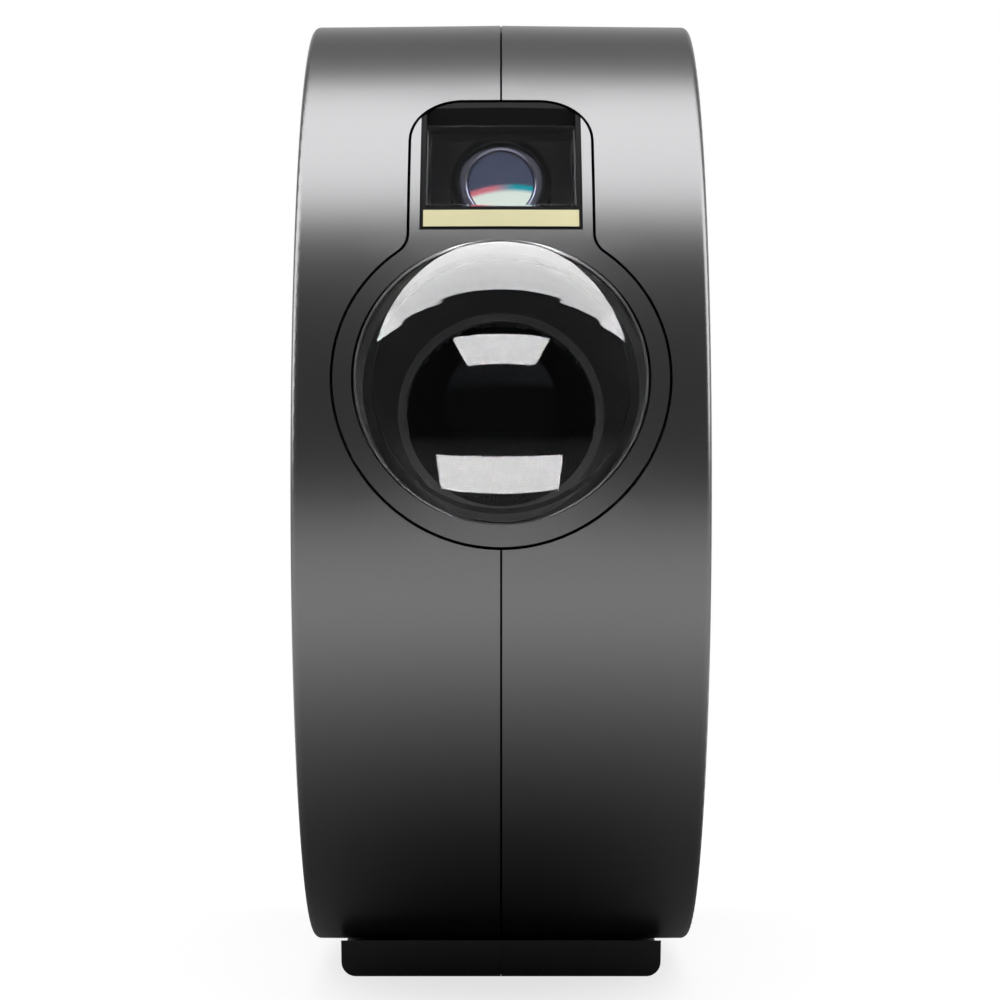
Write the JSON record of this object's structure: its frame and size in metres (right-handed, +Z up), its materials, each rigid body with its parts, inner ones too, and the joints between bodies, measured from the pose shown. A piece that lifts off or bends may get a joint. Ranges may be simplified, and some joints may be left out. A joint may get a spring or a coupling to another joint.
{
  "type": "planetarium projector",
  "caption": "Round tabletop planetarium projector: metallic drum on a small black stand, clear dome, laser window, tilting in its saddle.",
  "frame": {"origin": "centre of the stand's underside, on the table under the drum's axis", "axes": "+Z up, -Y to the front where the dome looks, +X to the right seen from the front"},
  "size_m": [0.0628, 0.1585, 0.16],
  "materials": {
    "drum_paint": "gunmetal metallic paint, satin",
    "black_plastic": "satin moulded black",
    "panel_black": "fine matt black",
    "cover_black": "fine matt black",
    "key_grey": "matt dark grey",
    "clear_dome": "clear, polished",
    "clear_optic": "clear, coated",
    "window_clear": "clear, tinted slightly",
    "label_paper": "bare pale yellow film",
    "felt": "black felt",
    "sole_rubber": "matt black silicone",
    "steel": "plain",
    "aluminium": "extruded, plain",
    "brass": "turned",
    "gear_white": "natural acetal",
    "board_green": "solder mask",
    "chip_yellow": "lamp chip",
    "motor_metal": "plated"
  },
  "bodies": {
    "stand": {"stand_left": "black_plastic", "stand_right": "black_plastic", "guide_shoe": "black_plastic", "saddle_pads": "felt", "foot_sole": "sole_rubber", "stand_screws": "steel"},
    "drum": {"shell_left": "drum_paint", "shell_right": "drum_paint", "side_cover_left": "cover_black", "side_cover_right": "cover_black", "shell_screws": "steel", "front_bezel": "drum_paint", "window_frame": "black_plastic", "window_pane": "window_clear", "label_strip": "label_paper", "dome_lens": "clear_dome", "dome_seal": "sole_rubber", "lens_barrel": "black_plastic", "inner_lens": "clear_optic", "lens_retainer": "black_plastic", "optics_frame": "black_plastic", "frame_screws": "steel", "collimator_lens": "clear_optic", "led_board": "board_green", "led_chips": "chip_yellow", "led_heat_sink": "aluminium", "heat_sink_screws": "steel", "drive_motor": "motor_metal", "motor_screws": "steel", "wheel_axle": "steel", "idler_axle": "steel", "laser_tube": "black_plastic", "laser_lens": "clear_optic", "laser_module": "brass", "laser_heat_sink": "aluminium", "rear_panel": "panel_black", "control_board": "board_green", "push_switches": "black_plastic", "board_screws": "steel", "power_jack": "black_plastic"},
    "nebula_wheel": {"wheel_gear": "gear_white", "nebula_disc": "clear_optic", "wheel_hub": "gear_white"},
    "idler": {"idler_gear": "gear_white"},
    "grating_wheel": {"grating_gear": "gear_white", "grating_disc": "clear_optic"},
    "motor_rotor": {"motor_pinion": "gear_white", "motor_shaft": "steel"},
    "key_1": {"button_1": "key_grey"},
    "key_2": {"button_2": "key_grey"},
    "key_3": {"button_3": "key_grey"}
  },
  "joints": [
    {"name": "tilt", "type": "hinge", "parent": "stand", "child": "drum", "pos_m": [0, 0, 0.082], "axis": [-1, 0, 0], "range_deg": [0, 50]},
    {"name": "nebula_spin", "type": "hinge", "parent": "drum", "child": "nebula_wheel", "pos_m": [0, -0.04534, 0.07768], "axis": [0, -0.9789, 0.2045], "continuous": true},
    {"name": "idler_spin", "type": "hinge", "parent": "drum", "child": "idler", "pos_m": [0, -0.0391, 0.10756], "axis": [0, -0.9789, 0.2045], "continuous": true},
    {"name": "grating_spin", "type": "hinge", "parent": "drum", "child": "grating_wheel", "pos_m": [0, -0.03515, 0.12647], "axis": [0, -0.9789, 0.2045], "continuous": true},
    {"name": "motor_spin", "type": "hinge", "parent": "drum", "child": "motor_rotor", "pos_m": [0, -0.05142, 0.04859], "axis": [0, -0.9789, 0.2045], "continuous": true},
    {"name": "press_1", "type": "slide", "parent": "drum", "child": "key_1", "axis": [0, -0.309, -0.9511], "range_m": [0, 0.0008], "stiffness_N_per_m": 1500, "springref_m": -0.0004},
    {"name": "press_2", "type": "slide", "parent": "drum", "child": "key_2", "axis": [0, -0.5, -0.866], "range_m": [0, 0.0008], "stiffness_N_per_m": 1500, "springref_m": -0.0004},
    {"name": "press_3", "type": "slide", "parent": "drum", "child": "key_3", "axis": [0, -0.6691, -0.7431], "range_m": [0, 0.0008], "stiffness_N_per_m": 1500, "springref_m": -0.0004}
  ],
  "couplings": [
    {"joint": "idler_spin", "follows": "nebula_spin", "ratio": -3.75},
    {"joint": "grating_spin", "follows": "nebula_spin", "ratio": 1.875},
    {"joint": "motor_spin", "follows": "nebula_spin", "ratio": -4.2857}
  ]
}
